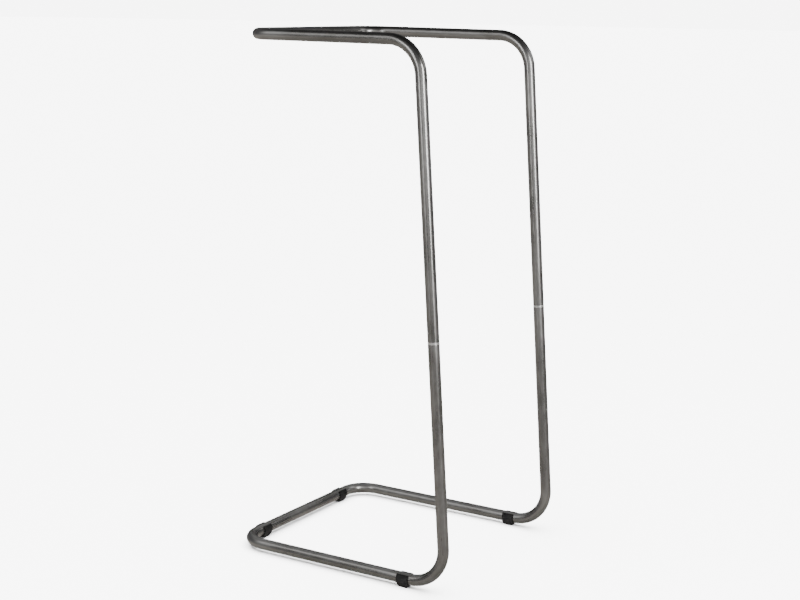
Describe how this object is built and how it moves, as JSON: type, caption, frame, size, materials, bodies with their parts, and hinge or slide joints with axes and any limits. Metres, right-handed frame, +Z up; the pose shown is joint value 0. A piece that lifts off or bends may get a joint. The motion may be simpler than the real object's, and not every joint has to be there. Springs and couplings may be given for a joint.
{
  "type": "valet stand",
  "caption": "Free-standing bent steel tube valet stand: a floor loop on clip-on glides, uprights that lean forward, and a lift-off top loop on plug connectors for hanging clothes.",
  "frame": {"origin": "on the floor, at the centre of the stand's footprint box", "axes": "+Z up; the arms reach forward along -Y from the uprights at +Y; +X is the stand's right side seen from behind, and X runs across the two uprights"},
  "size_m": [0.517, 0.5561, 1.177],
  "materials": {
    "tube_steel": "raw drawn steel under clear lacquer, satin, faintly mottled",
    "connector_steel": "bright turned steel",
    "glide_plastic": "matte black moulded plastic"
  },
  "bodies": {
    "lower_frame": {"lower_frame_tube": "tube_steel", "connector_left": "connector_steel", "connector_right": "connector_steel", "glide_rear_left": "glide_plastic", "glide_rear_right": "glide_plastic", "glide_front_left": "glide_plastic", "glide_front_right": "glide_plastic"},
    "upper_frame": {"upper_frame_tube": "tube_steel"}
  },
  "joints": [
    {"name": "upper_frame_lift", "type": "slide", "parent": "lower_frame", "child": "upper_frame", "axis": [0, -0.0779, 0.997], "range_m": [0, 0.065]}
  ]
}
